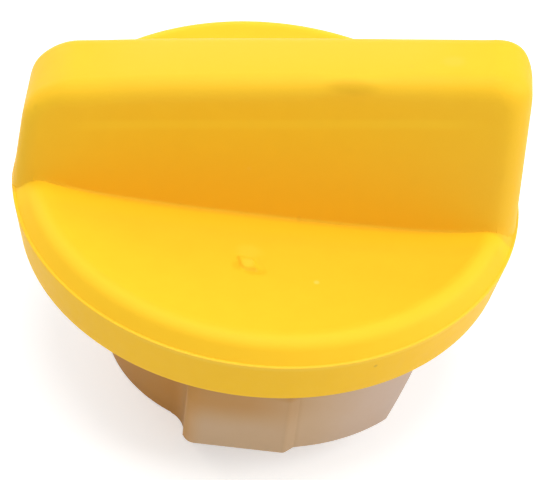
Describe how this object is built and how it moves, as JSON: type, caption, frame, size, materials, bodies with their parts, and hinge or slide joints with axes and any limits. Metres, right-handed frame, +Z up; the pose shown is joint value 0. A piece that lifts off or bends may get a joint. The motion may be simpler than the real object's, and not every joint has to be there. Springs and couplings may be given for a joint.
{
  "type": "oil filler cap",
  "caption": "Oil filler cap: a round dished cap with a sloping, wedge-shaped grip bar, and below it a bayonet insert with lugged wings and a flat sealing ring.",
  "frame": {"origin": "centre of the insert's lower rim, on which the cap stands", "axes": "+Z up along the cap's axis; X along the grip bar, whose top rises towards +X; the front in the picture is -Y"},
  "size_m": [0.062, 0.062, 0.0486],
  "materials": {
    "cap_plastic": "warm yellow, fine satin moulding texture",
    "insert_plastic": "natural beige, slightly translucent satin",
    "seal_rubber": "black, dull"
  },
  "bodies": {
    "root": {"grip_cap": "cap_plastic", "bayonet_insert": "insert_plastic", "seal_ring": "seal_rubber"}
  },
  "joints": []
}
